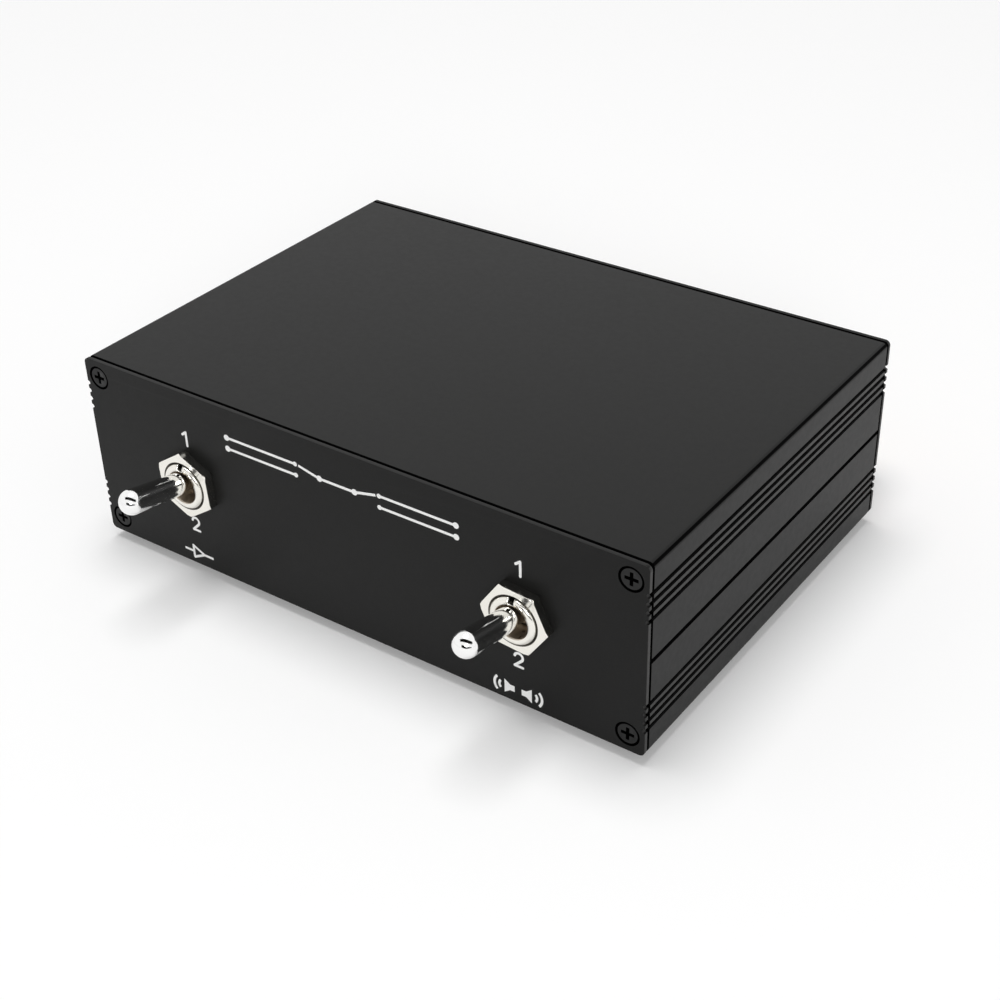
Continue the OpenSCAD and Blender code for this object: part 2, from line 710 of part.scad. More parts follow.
// Wire that leaves one place along Y, crosses over in its lane and ends along Y.
function bent(from, y0, lane, to, y1) =
    let (span = to - from, d = norm(span), u = span / d, r = min(bend_r, d / 2 - eps),
        back = y1 < lane ? -1 : 1,
        at = function(s, y) [from[0] + u[0] * s, y, from[1] + u[1] * s])
    concat(
        [at(0, y0)],
        [for (a = [0 : 30 : 90]) at(r - r * cos(a), lane - r + r * sin(a))],
        [for (a = [90 : -30 : 0]) at(d - r + r * cos(a), lane + back * (r - r * sin(a)))],
        [at(d, y1)]);

function lug_x(i) = -switch_pitch / 2 + (i - (poles - 1) / 2) * pole_pitch + lug_t / 2 + solder_gap + wire_r;
wire_from = base_back_y + 2;
wire_to = rear_y - tag_y - tag_t - 0.5;
tag_wire = tag_reach + tag_t / 2 + solder_gap + wire_r;

module loom(k) {
    for (s = [0, 1]) mirror([s, 0, 0]) for (p = [0, 1]) for (c = [0, 1]) {
        i = 2 * c + k;
        z = post_z([0, p, c, k]) + (k == 0 ? -1 : 1) * tag_wire;
        tube(bent([lug_x(i), mid_z + (p == 0 ? -1 : 1) * row_offset], wire_from,
            loom_y + loom_rank[4 * p + i] * lane_pitch, [post_x([0, p, c, k]), z], wire_to), wire_r, 8);
    }
    for (c = [0, 1]) {
        i = 2 * c + k;
        lane = link_y + (poles - 1 - i) * link_pitch;
        tube(bent([lug_x(i), mid_z], wire_from, lane, [-lug_x(i), mid_z], wire_from), wire_r, 8);
    }
}

module wires_red() {
    color([0.7, 0.08, 0.06]) in_case() loom(0);
}

module wires_black() {
    color([0.06, 0.06, 0.06]) in_case() loom(1);
}

// ---------- nodes ----------

upper_shell();
lower_shell();
front_panel();
rear_panel();
panel_screws();
feet();
switch_nuts();
switch_terminals();
for (s = [0, 1]) {
    bushing(s);
    base(s);
    lever(s);
    carrier(s);
    plungers(s);
    springs(s);
    rockers(s);
}
post_insulators();
post_studs();
post_nuts();
solder_tags();
wires_red();
wires_black();
for (id = post_ids) {
    cap_insert(id);
    cap(id);
}
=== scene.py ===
"""Two-way amplifier and loudspeaker selector, dressed over its CAD model. Lengths are in metres."""

import json
import math

import bmesh
import bpy
from mathutils import Matrix, Vector

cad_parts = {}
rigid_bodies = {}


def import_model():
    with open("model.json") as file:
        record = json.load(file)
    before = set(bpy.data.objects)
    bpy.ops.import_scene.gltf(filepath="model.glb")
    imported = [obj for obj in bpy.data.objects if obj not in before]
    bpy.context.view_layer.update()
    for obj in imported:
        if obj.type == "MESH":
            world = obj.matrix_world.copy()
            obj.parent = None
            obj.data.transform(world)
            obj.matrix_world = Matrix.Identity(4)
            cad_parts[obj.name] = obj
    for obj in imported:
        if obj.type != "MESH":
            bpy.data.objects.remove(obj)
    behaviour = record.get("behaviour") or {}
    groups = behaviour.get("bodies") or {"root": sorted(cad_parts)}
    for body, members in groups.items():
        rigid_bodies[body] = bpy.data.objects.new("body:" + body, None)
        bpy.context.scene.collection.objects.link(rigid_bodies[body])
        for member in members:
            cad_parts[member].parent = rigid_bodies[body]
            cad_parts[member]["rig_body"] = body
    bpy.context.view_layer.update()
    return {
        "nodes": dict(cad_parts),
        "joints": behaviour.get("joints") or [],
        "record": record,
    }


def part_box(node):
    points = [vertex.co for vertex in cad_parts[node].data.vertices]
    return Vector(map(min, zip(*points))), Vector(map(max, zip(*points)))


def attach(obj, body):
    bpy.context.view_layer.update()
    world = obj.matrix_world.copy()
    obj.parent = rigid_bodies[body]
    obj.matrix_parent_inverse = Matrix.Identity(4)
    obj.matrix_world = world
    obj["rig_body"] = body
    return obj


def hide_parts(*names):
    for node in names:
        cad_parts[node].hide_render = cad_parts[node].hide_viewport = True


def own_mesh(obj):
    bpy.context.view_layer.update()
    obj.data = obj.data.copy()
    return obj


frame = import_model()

MM = 0.001
CASE = "case"
SWITCHES = ("amp", "speaker")

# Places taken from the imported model.
PANEL_LOW, PANEL_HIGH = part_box("front_panel")
FRONT = PANEL_LOW.y
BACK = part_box("rear_panel")[1].y
CASE_BOTTOM = PANEL_LOW.z
CASE_TOP = PANEL_HIGH.z
SIDE = PANEL_HIGH.x
SWITCH_Z = (CASE_BOTTOM + CASE_TOP) / 2

SCREW_FROM_SIDE = 3.9 * MM
SCREW_FROM_EDGE = 4.1 * MM
SCREW_X = SIDE - SCREW_FROM_SIDE
SCREW_DZ = (CASE_TOP - CASE_BOTTOM) / 2 - SCREW_FROM_EDGE


def joint(name):
    return next(j for j in frame["joints"] if j["name"] == name)


def switch_x(name):
    return joint(f"{name}_switch_lever_tilt")["pos_m"][0]


# ---------- materials ----------


def principled(name, colour, rough, metal=0.0, coat=0.0, specular=0.5, ior=1.5):
    """A plain material for the nodes that are added to it."""
    made = bpy.data.materials.new(name)
    made.use_nodes = True
    shader = made.node_tree.nodes["Principled BSDF"]
    shader.inputs["Base Color"].default_value = (*colour, 1)
    shader.inputs["Roughness"].default_value = rough
    shader.inputs["Metallic"].default_value = metal
    shader.inputs["Coat Weight"].default_value = coat
    shader.inputs["Specular IOR Level"].default_value = specular
    shader.inputs["IOR"].default_value = ior
    return made


def node_of(material, kind, **inputs):
    """A new node of a material, with the inputs that are named."""
    made = material.node_tree.nodes.new(kind)
    for name, value in inputs.items():
        made.inputs[name.replace("_", " ")].default_value = value
    return made


def feed(material, output, socket):
    """Drives a socket of the material's own shader."""
    tree = material.node_tree
    tree.links.new(output, tree.nodes["Principled BSDF"].inputs[socket])


def noise(material, per_metre, detail=2.0):
    """Noise over the object's own coordinates, as a node's Fac output."""
    place = node_of(material, "ShaderNodeTexCoord")
    grain = node_of(material, "ShaderNodeTexNoise", Scale=per_metre, Detail=detail)
    material.node_tree.links.new(place.outputs["Object"], grain.inputs["Vector"])
    return grain.outputs["Fac"]


def bump(material, height, distance, strength):
    made = node_of(material, "ShaderNodeBump", Strength=strength, Distance=distance)
    material.node_tree.links.new(height, made.inputs["Height"])
    feed(material, made.outputs["Normal"], "Normal")


# Nearly all of a noise lies between the first two, and a blend of colours runs between the others.
NOISE_LOW, NOISE_HIGH = 0.3, 0.7
BLEND_LOW, BLEND_HIGH = 0.35, 0.65


def vary(material, socket, factor, low, high):
    """Moves a socket between two values with a noise."""
    made = node_of(material, "ShaderNodeMapRange",
                   From_Min=NOISE_LOW, From_Max=NOISE_HIGH, To_Min=low, To_Max=high)
    material.node_tree.links.new(factor, made.inputs["Value"])
    feed(material, made.outputs["Result"], socket)


def blend_colours(material, factor, first, second):
    """Moves the base colour from the first to the second with a factor."""
    ramp = node_of(material, "ShaderNodeValToRGB")
    ends = ((BLEND_LOW, first), (BLEND_HIGH, second))
    for element, (position, colour) in zip(ramp.color_ramp.elements, ends):
        element.position = position
        element.color = (*colour, 1)
    material.node_tree.links.new(factor, ramp.inputs["Fac"])
    feed(material, ramp.outputs["Color"], "Base Color")


def shaded(colour, share):
    return [part * share for part in colour]


SKIN_ROUGH = 0.42
BLAST_GRAINS_PER_M = 5200
BLAST_DEPTH = 0.02 * MM


def anodised(name, tone, ior):
    """Fine blasted aluminium with a black anodised skin, a little warm."""
    colour = (tone, tone, tone * 0.95)
    made = principled(name, colour, SKIN_ROUGH, ior=ior)
    grain = noise(made, BLAST_GRAINS_PER_M, detail=3)
    blend_colours(made, grain, shaded(colour, 0.7), shaded(colour, 1.3))
    bump(made, grain, BLAST_DEPTH, strength=0.3)
    vary(made, "Roughness", noise(made, per_metre=700), SKIN_ROUGH - 0.02, SKIN_ROUGH + 0.02)
    return made


def plated(name, colour, rough):
    """Bright or dull plate, a little uneven in its gloss."""
    made = principled(name, colour, rough, metal=1.0)
    vary(made, "Roughness", noise(made, per_metre=900), rough * 0.8, rough * 1.25)
    return made


def uneven(made, rough):
    """Gives the gloss of a moulded surface its slight unevenness."""
    vary(made, "Roughness", noise(made, per_metre=2500), rough * 0.92, rough * 1.08)
    return made


def moulded(name, colour, rough, coat=0.0):
    """Plastic or rubber, a little uneven in colour and gloss."""
    made = principled(name, colour, rough, coat=coat)
    grain = noise(made, per_metre=4000)
    blend_colours(made, grain, shaded(colour, 0.92), shaded(colour, 1.08))
    return uneven(made, rough)


BLACK_PLASTIC = (0.018, 0.018, 0.019)
RED_PLASTIC = (0.42, 0.012, 0.012)


def two_tone_insulator(name, rough):
    """The upper row of posts is red and the lower row is black."""
    made = uneven(principled(name, BLACK_PLASTIC, rough), rough)
    place = node_of(made, "ShaderNodeTexCoord")
    split = node_of(made, "ShaderNodeSeparateXYZ")
    above = node_of(made, "ShaderNodeMath")
    above.operation = "GREATER_THAN"
    upper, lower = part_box("amp_a_left_red_cap"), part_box("amp_a_left_black_cap")
    above.inputs[1].default_value = (upper[0].z + lower[1].z) / 2
    links = made.node_tree.links
    links.new(place.outputs["Object"], split.inputs["Vector"])
    links.new(split.outputs["Z"], above.inputs[0])
    blend_colours(made, above.outputs[0], BLACK_PLASTIC, RED_PLASTIC)
    return made


def screen_print(name, rough):
    """White ink, with the slight unevenness of a screen print."""
    made = principled(name, (0.96, 0.96, 0.95), rough)
    blend_colours(made, noise(made, per_metre=3000), (0.93, 0.93, 0.92), (0.98, 0.98, 0.97))
    return made


def painted_shade_finish(name, tone):
    """Painted shade: a near black that mirrors nothing, for narrow joints, holes and recesses."""
    return principled(name, (tone, tone, tone), rough=0.9, specular=0.0)


# What makes each material, and the values that it takes.
FINISHES = {
    "black_anodised": (anodised, 0.004, 1.258),
    # Painted highlight: a lighter skin for the ribs between the grooves and the panels' side edges.
    "cut_edge": (anodised, 0.016, 1.33),
    # Painted shade: a darker skin for the grooves and the middle of the rounded long edges.
    "dark_edge": (anodised, 0.001, 1.06),
    # Painted shade for joints, holes and screw recesses.
    "joint_line": (painted_shade_finish, 0.001),
    "black_steel": (plated, (0.03, 0.03, 0.03), 0.38),
    "foot_rubber": (moulded, (0.02, 0.02, 0.02), 0.8),
    "nickel": (plated, (0.87, 0.85, 0.79), 0.16),
    # Painted shade: a darker copy of the nickel for the nuts' flanks.
    "nickel_side": (plated, (0.42, 0.41, 0.38), 0.2),
    # Painted shade in the bushings' mouths.
    "nickel_bore": (plated, (0.5, 0.44, 0.36), 0.34),
    # Painted shade in the nuts' threads.
    "thread_dirt": (plated, (0.09, 0.085, 0.075), 0.45),
    "chrome": (plated, (0.92, 0.92, 0.91), 0.1),
    # Painted shade on the levers' balls near the pivot.
    "greased_ball": (plated, (0.34, 0.3, 0.25), 0.3),
    "phenolic": (moulded, (0.12, 0.03, 0.02), 0.45),
    "tinned_brass": (plated, (0.68, 0.66, 0.6), 0.3),
    "carrier_nylon": (moulded, (0.03, 0.03, 0.03), 0.5),
    "plain_brass": (plated, (0.75, 0.55, 0.24), 0.25),
    "spring_steel": (plated, (0.55, 0.55, 0.56), 0.3),
    "contact_copper": (plated, (0.8, 0.42, 0.26), 0.3),
    "gold_plate": (plated, (0.9, 0.66, 0.28), 0.17),
    "post_plastic": (two_tone_insulator, 0.28),
    "red_plastic": (moulded, RED_PLASTIC, 0.25, 0.2),
    "black_plastic": (moulded, BLACK_PLASTIC, 0.25, 0.2),
    "red_wire": (moulded, (0.5, 0.02, 0.02), 0.35),
    "black_wire": (moulded, (0.02, 0.02, 0.02), 0.35),
    "print_white": (screen_print, 0.5),
}
MATERIALS = {name: finish(name, *values) for name, (finish, *values) in FINISHES.items()}


def paint(piece, material):
    piece.data.materials.clear()
    piece.data.materials.append(MATERIALS[material])


SLOT_OF = {s["node"]: s["material_slot"] for s in frame["record"]["subparts"]}
for node_name, cad_piece in frame["nodes"].items():
    paint(cad_piece, SLOT_OF[node_name])


# ---------- meshes ----------


def mesh_from(name, made):
    """Ends a bmesh as a mesh."""
    mesh = bpy.data.meshes.new(name)
    made.to_mesh(mesh)
    made.free()
    return mesh


def placed(name, data):
    made = bpy.data.objects.new(name, data)
    bpy.context.scene.collection.objects.link(made)
    return made


def piece_from(name, mesh, body, materials):
    """A visible piece that moves with a body."""
    made = placed(name, mesh)
    for material in materials:
        mesh.materials.append(MATERIALS[material])
    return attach(made, body)


# In degrees: an edge that turns by more than the first is rounded, and one that turns by more than
# the second stays sharp when the faces beside it are smoothed.
ROUNDED, SHARP = 40, 50
# Points closer than this are one point.
MERGED = 0.001 * MM


def edge_turn(edge):
    """The angle between the two faces of an edge, in degrees."""
    return math.degrees(edge.calc_face_angle(0))


def bevelled(made, chosen, width):
    edges = [edge for edge in made.edges if edge_turn(edge) > ROUNDED and chosen(edge)]
    bmesh.ops.bevel(made, geom=edges, offset=width, segments=2, profile=0.5, affect="EDGES",
                    clamp_overlap=True, material=-1)


def refined(node_name, shape, extra, flat=0.5):
    """Stands in a copy of the node's own mesh, reworked by the function shape.

    Faces that turn by less than flat degrees are joined first.
    """
    made = bmesh.new()
    made.from_mesh(frame["nodes"][node_name].data)
    bmesh.ops.remove_doubles(made, verts=made.verts, dist=MERGED)
    if flat:
        bmesh.ops.dissolve_limit(
            made, angle_limit=math.radians(flat), verts=made.verts, edges=made.edges)
    for face in made.faces:
        face.material_index = 0
    shape(made)
    dressed(node_name, made, extra)


def dressed(node_name, made, extra):
    """Stands a mesh in for a node. Its faces have the node's own finish, or one of the extra ones."""
    for face in made.faces:
        face.smooth = True
    mesh = mesh_from(node_name + "_dressed", made)
    slot = SLOT_OF[node_name]
    body = frame["nodes"][node_name]["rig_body"]
    piece = piece_from(node_name + "_dressed", mesh, body, (slot, *extra))
    mesh.set_sharp_from_angle(angle=math.radians(SHARP))
    flats = piece.modifiers.new("flat_faces", "WEIGHTED_NORMAL")
    flats.keep_sharp = True
    flats.weight = 100
    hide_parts(node_name)


def lathe(made, profile, turn, steps=96):
    """Turns an outline of (radius, height) points about Z. It starts and ends on the axis."""
    rings = []
    for radius, height in profile:
        angles = [math.tau * i / steps for i in range(steps if radius else 1)]
        rings.append([made.verts.new(turn @ Vector((radius * math.cos(a), radius * math.sin(a), height)))
                      for a in angles])
    for low, high in zip(rings, rings[1:]):
        for i in range(steps):
            j = (i + 1) % steps
            if len(low) == 1:
                made.faces.new((low[0], high[j], high[i]))
            elif len(high) == 1:
                made.faces.new((low[i], low[j], high[0]))
            else:
                made.faces.new((low[i], low[j], high[j], high[i]))


def round_points(centre, radius, low, high, steps):
    """Points of an arc in an outline. The angles are in degrees from the radius's own direction."""
    angles = [math.radians(low + (high - low) * i / steps) for i in range(steps + 1)]
    return [(centre[0] + radius * math.cos(a), centre[1] + radius * math.sin(a)) for a in angles]


# ---------- printing on the front panel ----------

PRINT_T = 0.03 * MM
LINE = 0.6 * MM
ARC_STEPS, DOT_STEPS = 20, 24
# The share by which a shape is thicker for each point printed before it, and when that starts again.
LAYER, LAYERS = 0.04, 23

# Heights of the marks over the case's lower edge.
ROUTING_MARK = 36.6 * MM
UPPER_MARK = 33.5 * MM
LOWER_MARK = 11.1 * MM
SIGN_MARK = 3.1 * MM
# The heights of the figures and signs, and how far they stand to the left of their switch.
ONE_H, TWO_H = 4 * MM, 3.9 * MM
AMPLIFIER_H, SPEAKER_H = 3.2 * MM, 3.4 * MM
TWO_LEFT, SIGN_LEFT = 0.4 * MM, 0.7 * MM
# How far the routing sign stands to the left of the middle.
ROUTING_LEFT = 1 * MM


def prism(made, outline, place):
    """Adds a flat printed shape to a bmesh. The outline is in the panel's plane, seen from the front.

    Shapes differ a little in thickness, so that no two that cross share a plane.
    """
    thick = PRINT_T * (1 + LAYER * (len(made.verts) % LAYERS))
    front = [made.verts.new((place[0] + x, FRONT - thick, place[1] + z)) for x, z in outline]
    back = [made.verts.new((place[0] + x, FRONT + thick, place[1] + z)) for x, z in outline]
    count = len(outline)
    made.faces.new(front)
    made.faces.new(back[::-1])
    for i in range(count):
        j = (i + 1) % count
        made.faces.new((front[j], front[i], back[i], back[j]))


def stroke(made, start, end, place):
    """A straight printed line from one point to another."""
    along = Vector((end[0] - start[0], end[1] - start[1])).normalized()
    side = Vector((-along.y, along.x)) * LINE / 2
    a, b = Vector(start), Vector(end)
    prism(made, [a - side, b - side, b + side, a + side], place)


def arc(made, centre, radius, low, high, place):
    """A printed arc between two angles in degrees."""
    outer = round_points(centre, radius + LINE / 2, low, high, ARC_STEPS)
    inner = round_points(centre, radius - LINE / 2, low, high, ARC_STEPS)
    prism(made, outer + inner[::-1], place)


def dot(made, centre, radius, place):
    prism(made, round_points(centre, radius, 0, 360, DOT_STEPS)[:-1], place)


def line_ends(made, ends, place):
    """Rounds off the ends of printed lines."""
    for end in ends:
        dot(made, end, LINE / 2, place)


def print_piece(name, draw):
    made = bmesh.new()
    draw(made)
    bmesh.ops.recalc_face_normals(made, faces=made.faces)
    piece_from(name, mesh_from(name, made), CASE, ("print_white",))


def figure_one(made, place, height):
    half, stem = (height - LINE) / 2, 0.09 * height
    top, foot = (stem, half), (stem, -half)
    flag = (stem - 0.26 * height, half - 0.2 * height)
    stroke(made, foot, top, place)
    stroke(made, top, flag, place)
    line_ends(made, (top, foot, flag), place)


def figure_two(made, place, height):
    half, bow_r = (height - LINE) / 2, 0.25 * height
    bow_from, bow_to = -38, 170
    bow = (0, half - bow_r)
    arc(made, bow, bow_r, bow_from, bow_to, place)
    leaves, starts = round_points(bow, bow_r, bow_from, bow_to, 1)
    corner, end = (-bow_r, -half), (bow_r, -half)
    stroke(made, leaves, corner, place)
    stroke(made, corner, end, place)
    line_ends(made, (leaves, corner, end, starts), place)


def amplifier_sign(made, place, size):
    """A triangle on its side with a lead at either end."""
    half, lead = size / 2, 0.85 * size
    corners = [(-half, -half), (half, 0), (-half, half)]
    for i, corner in enumerate(corners):
        stroke(made, corner, corners[(i + 1) % 3], place)
        dot(made, corner, LINE / 2, place)
    stroke(made, (-half - lead, 0), (-half, 0), place)
    stroke(made, (half, 0), (half + lead, 0), place)


def speaker_sign(made, place, size):
    """Two loudspeakers back to back, with waves in front of each, in shares of half the height."""
    half = size / 2
    back, throat, mouth = 0.5, 1.15, 1.95
    box_half, horn_half = 0.42, 1
    waves, spread = (0.75, 1.45), 44
    box = [(back, -box_half), (throat, -box_half), (throat, box_half), (back, box_half)]
    horn = [(throat, -box_half), (mouth, -horn_half), (mouth, horn_half), (throat, box_half)]
    for side, facing in ((-1, 180), (1, 0)):
        for outline in (box, horn):
            prism(made, [(side * x * half, z * half) for x, z in outline], place)
        for radius in waves:
            arc(made, (side * mouth * half, 0), radius * half, facing - spread, facing + spread, place)


def routing_sign(made):
    """Two inputs that meet in a changeover, and a second changeover to two outputs."""
    half, rail, arm, hub = 30 * MM, 1.35 * MM, 11 * MM, 4.6 * MM
    end_r, tip_r = 0.72 * MM, 0.55 * MM
    blade = (arm - 0.9 * MM, 0.92 * rail)
    place = (-ROUTING_LEFT, CASE_BOTTOM + ROUTING_MARK)
    for side in (-1, 1):
        for z in (-rail, rail):
            dot(made, (side * half, z), end_r, place)
            stroke(made, (side * half, z), (side * arm, z), place)
            dot(made, (side * arm, z), tip_r, place)
        stroke(made, (side * blade[0], blade[1]), (side * hub, 0), place)
        dot(made, (side * hub, 0), end_r, place)
    stroke(made, (-hub, 0), (hub, 0), place)


def printing():
    def at(name, left, height):
        return (switch_x(name) - left, CASE_BOTTOM + height)

    for name in SWITCHES:
        print_piece(f"{name}_number_1", lambda made: figure_one(
            made, at(name, 0, UPPER_MARK), ONE_H))
        print_piece(f"{name}_number_2", lambda made: figure_two(
            made, at(name, TWO_LEFT, LOWER_MARK), TWO_H))
    print_piece("amplifier_sign", lambda made: amplifier_sign(
        made, at("amp", SIGN_LEFT, SIGN_MARK), AMPLIFIER_H))
    print_piece("speaker_sign", lambda made: speaker_sign(
        made, at("speaker", SIGN_LEFT, SIGN_MARK), SPEAKER_H))
    print_piece("routing_sign", routing_sign)


# ---------- dressing the metal ----------


# Within this, a point is taken to lie on a plane.
CLOSE = 0.02 * MM
SHELL_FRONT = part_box("upper_shell")[0].y
SHELL_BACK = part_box("upper_shell")[1].y
JOINT_DEPTH = 0.2 * MM
SHELL_JOINT_WIDTH = 0.5 * MM
PANEL_JOINT_WIDTH = 0.28 * MM
SEAM_WIDTH = 0.18 * MM
# The rim is the outside of the case, down to the floors of its grooves.
RIM = 0.9 * MM
Y, Z = 1, 2

# The extra finishes of some pieces. A face's material index counts them from 1, and the first is the
# painted shade of joints and recesses wherever a piece has one.
SHELL_FINISHES = ("joint_line", "dark_edge", "cut_edge")
PANEL_FINISHES = ("joint_line", "cut_edge")
NUT_FINISHES = ("nickel_side", "thread_dirt")
FIRST = 1


def finish_face(face, finishes, name):
    face.material_index = FIRST + finishes.index(name)


def at_joint(edge):
    """Edges of the two planes in which panels and shells meet."""
    return any(all(abs(v.co.y - y) < CLOSE for v in edge.verts) for y in (SHELL_FRONT, SHELL_BACK))


def on_rim(element):
    """Edges and faces on the outline of the case, seen from the front."""
    return all(abs(v.co.x) > SIDE - RIM or v.co.z > CASE_TOP - RIM or v.co.z < CASE_BOTTOM + RIM
               for v in element.verts)


def sink_joint(made, axis, plane, width):
    """Draws the rim in where two parts of the case meet, over a signed width from the joint's plane, and
    paints shade on that strip.
    """
    across = Vector((0, 1, 0)) if axis == Y else Vector((0, 0, 1))
    everything = [*made.verts, *made.edges, *made.faces]
    bmesh.ops.bisect_plane(made, geom=everything, dist=MERGED / 10,
                           plane_co=across * (plane + width), plane_no=across)
    low, high = sorted((plane, plane + width))
    strip = [face for face in made.faces if on_rim(face) and abs(face.normal[axis]) < 0.5
             and all(low - CLOSE < v.co[axis] < high + CLOSE for v in face.verts)]
    drawn = {}
    for face in strip:
        # Painted shade on the drawn-in strip.
        face.material_index = FIRST
        for v in face.verts:
            if abs(v.co[axis] - plane) < CLOSE:
                drawn[v] = drawn.get(v, Vector()) + face.normal
    for v, outward in drawn.items():
        outward[axis] = 0
        v.co -= outward.normalized() * JOINT_DEPTH


def sink_seam(made):
    """Does the same where the two shells meet in the sides."""
    heights = [v.co.z for v in made.verts if abs(v.co.x) > SIDE - CLOSE]
    is_upper = (min(heights) + max(heights)) / 2 > SWITCH_Z
    if is_upper:
        sink_joint(made, Z, min(heights), SEAM_WIDTH)
    else:
        sink_joint(made, Z, max(heights), -SEAM_WIDTH)


METAL_ROUND, PANEL_ROUND = 0.08 * MM, 0.12 * MM
# The ribs between the grooves, which get a painted highlight, and the rounded long edges, measured from
# the top or the bottom.
GROOVES_FROM, GROOVES_TO = 6.4 * MM, 12.4 * MM
LONG_EDGE = 1.3 * MM
# How far into the side a groove's floor lies at least.
GROOVE_FLOOR = 0.12 * MM
# A face's level is 1 where it looks straight up or down and 0 where it looks to the side: the levels
# in the middle of a rounded edge, that of a groove's wall at least, and that of its floor at most. They
# pick the faces that get painted shade.
EDGE_LOW, EDGE_HIGH, WALL_LEVEL, FLOOR_LEVEL = 0.38, 0.86, 0.97, 0.9


def takes_painted_shade(face, inset, from_end):
    """Faces that get painted shade: the middle of the rounded long edges, and the walls and floors of
    the grooves.
    """
    level = abs(face.normal.z)
    if from_end < LONG_EDGE:
        return inset < LONG_EDGE and EDGE_LOW < level < EDGE_HIGH
    is_wall = level > WALL_LEVEL and inset > CLOSE
    is_floor = level < FLOOR_LEVEL and inset > GROOVE_FLOOR
    return inset < RIM and (is_wall or is_floor)


def break_shell(made):
    """Small rounds on the edges, painted shade in the grooves and along the middle of the long edges, a
    painted highlight on the ribs, and painted shade at the joints.
    """
    bevelled(made, lambda edge: not at_joint(edge), METAL_ROUND)
    for face in made.faces:
        centre = face.calc_center_median()
        inset = SIDE - abs(centre.x)
        from_end = min(centre.z - CASE_BOTTOM, CASE_TOP - centre.z)
        # Painted shade in the grooves and along the middle of the rounded long edges.
        if takes_painted_shade(face, inset, from_end):
            finish_face(face, SHELL_FINISHES, "dark_edge")
        # A painted highlight on the ribs between the grooves.
        elif inset < CLOSE and GROOVES_FROM < from_end < GROOVES_TO:
            finish_face(face, SHELL_FINISHES, "cut_edge")
    sink_seam(made)
    sink_joint(made, Y, SHELL_FRONT, SHELL_JOINT_WIDTH)
    sink_joint(made, Y, SHELL_BACK, -SHELL_JOINT_WIDTH)


def break_panel(made):
    """A painted highlight on the side edges, painted shade in the holes and countersinks, and painted
    shade on a drawn-in strip towards the shells.
    """
    def to_round(edge):
        in_plane = abs(edge.verts[0].co.y - edge.verts[1].co.y) < CLOSE
        return in_plane and on_rim(edge) and not at_joint(edge)

    bevelled(made, to_round, PANEL_ROUND)
    for face in made.faces:
        # Painted shade on the walls of the holes and countersinks.
        if abs(face.normal.y) < 0.9 and not on_rim(face):
            face.material_index = FIRST
        # A painted highlight on the panel's side edges.
        elif abs(face.normal.x) > 0.7:
            finish_face(face, PANEL_FINISHES, "cut_edge")
    in_front = next(iter(made.verts)).co.y < 0
    if in_front:
        sink_joint(made, Y, SHELL_FRONT, -PANEL_JOINT_WIDTH)
    else:
        sink_joint(made, Y, SHELL_BACK, PANEL_JOINT_WIDTH)


# Painted shade lies in a nut's thread, out to this radius.
THREAD_SHADE_R = 5.95 * MM


def break_nut(made):
    """Small rounds, painted shade on the flanks and painted shade round the thread."""
    def in_thread(v):
        return math.hypot(abs(v.co.x) - switch_x("speaker"), v.co.z - SWITCH_Z) < THREAD_SHADE_R

    bevelled(made, lambda edge: True, METAL_ROUND)
    for face in made.faces:
        # Painted shade round the thread.
        if all(in_thread(v) for v in face.verts):
            finish_face(face, NUT_FINISHES, "thread_dirt")
        # Painted shade: the flanks take a darker copy of the nickel.
        elif abs(face.normal.y) < 0.5:
            finish_face(face, NUT_FINISHES, "nickel_side")


# A screw's head, as radii from its axis and depths under the panel's face: its rim, which is drawn
# in by the width of the chamfer, then the chamfer, and then the cross.
HEAD_RIM_FROM, HEAD_RIM_DEEP = 2.3 * MM, 0.15 * MM
CHAMFER = 0.24 * MM
CHAMFER_FROM, CHAMFER_DEEP = 2.2 * MM, 0.5 * MM
CROSS_TO, CROSS_HIGH, CROSS_DEEP = 1.9 * MM, 0.2 * MM, 1.1 * MM


def break_screws(made):
    """Draws each head's rim in, and paints shade on the chamfer round every head and in its cross."""
    def place(point):
        """How far a point is from its screw's axis, and how deep it is under the panel's face."""
        x, z = abs(point.x) - SCREW_X, abs(point.z - SWITCH_Z) - SCREW_DZ
        return Vector((x, z)), min(point.y - FRONT, BACK - point.y)

    for v in made.verts:
        away, depth = place(v.co)
        if away.length > HEAD_RIM_FROM and depth < HEAD_RIM_DEEP:
            inward = away.normalized() * CHAMFER
            v.co.x -= math.copysign(1, v.co.x) * inward.x
            v.co.z -= math.copysign(1, v.co.z - SWITCH_Z) * inward.y
    for face in made.faces:
        away, depth = place(face.calc_center_median())
        in_cross = away.length < CROSS_TO and CROSS_HIGH < depth < CROSS_DEEP
        on_chamfer = away.length > CHAMFER_FROM and depth < CHAMFER_DEEP
        # Painted shade in the cross and on the chamfer.
        if in_cross or on_chamfer:
            face.material_index = FIRST


# The lever's outline, along its own axis from the pivot: the tail inside the switch, the ball, the
# neck, the shoulder, the shaft from its root outwards, and the dome.
TAIL_R, TAIL = 1.6 * MM, 12.8 * MM
BALL_R = 3.5 * MM
NECK_R = 2 * MM
SHOULDER = 7.2 * MM
ROOT_R, ROOT_ROUND = 2.55 * MM, 0.4 * MM
DOME_R, DOME_AT = 2.845 * MM, 20.9 * MM
# The pivot pin's radius and half its length.
PIN_R, PIN = 0.75 * MM, 5.2 * MM
# Painted shade darkens the lever this far from its pivot, on the ball inside the bushing.
BALL_SHADE_REACH = 5.5 * MM
# Steps in the outline of the ball and of the dome, along the shaft, in the root's round, round the pin.
BALL_STEPS, SHAFT_STEPS, ROOT_STEPS, PIN_STEPS = 32, 24, 8, 32


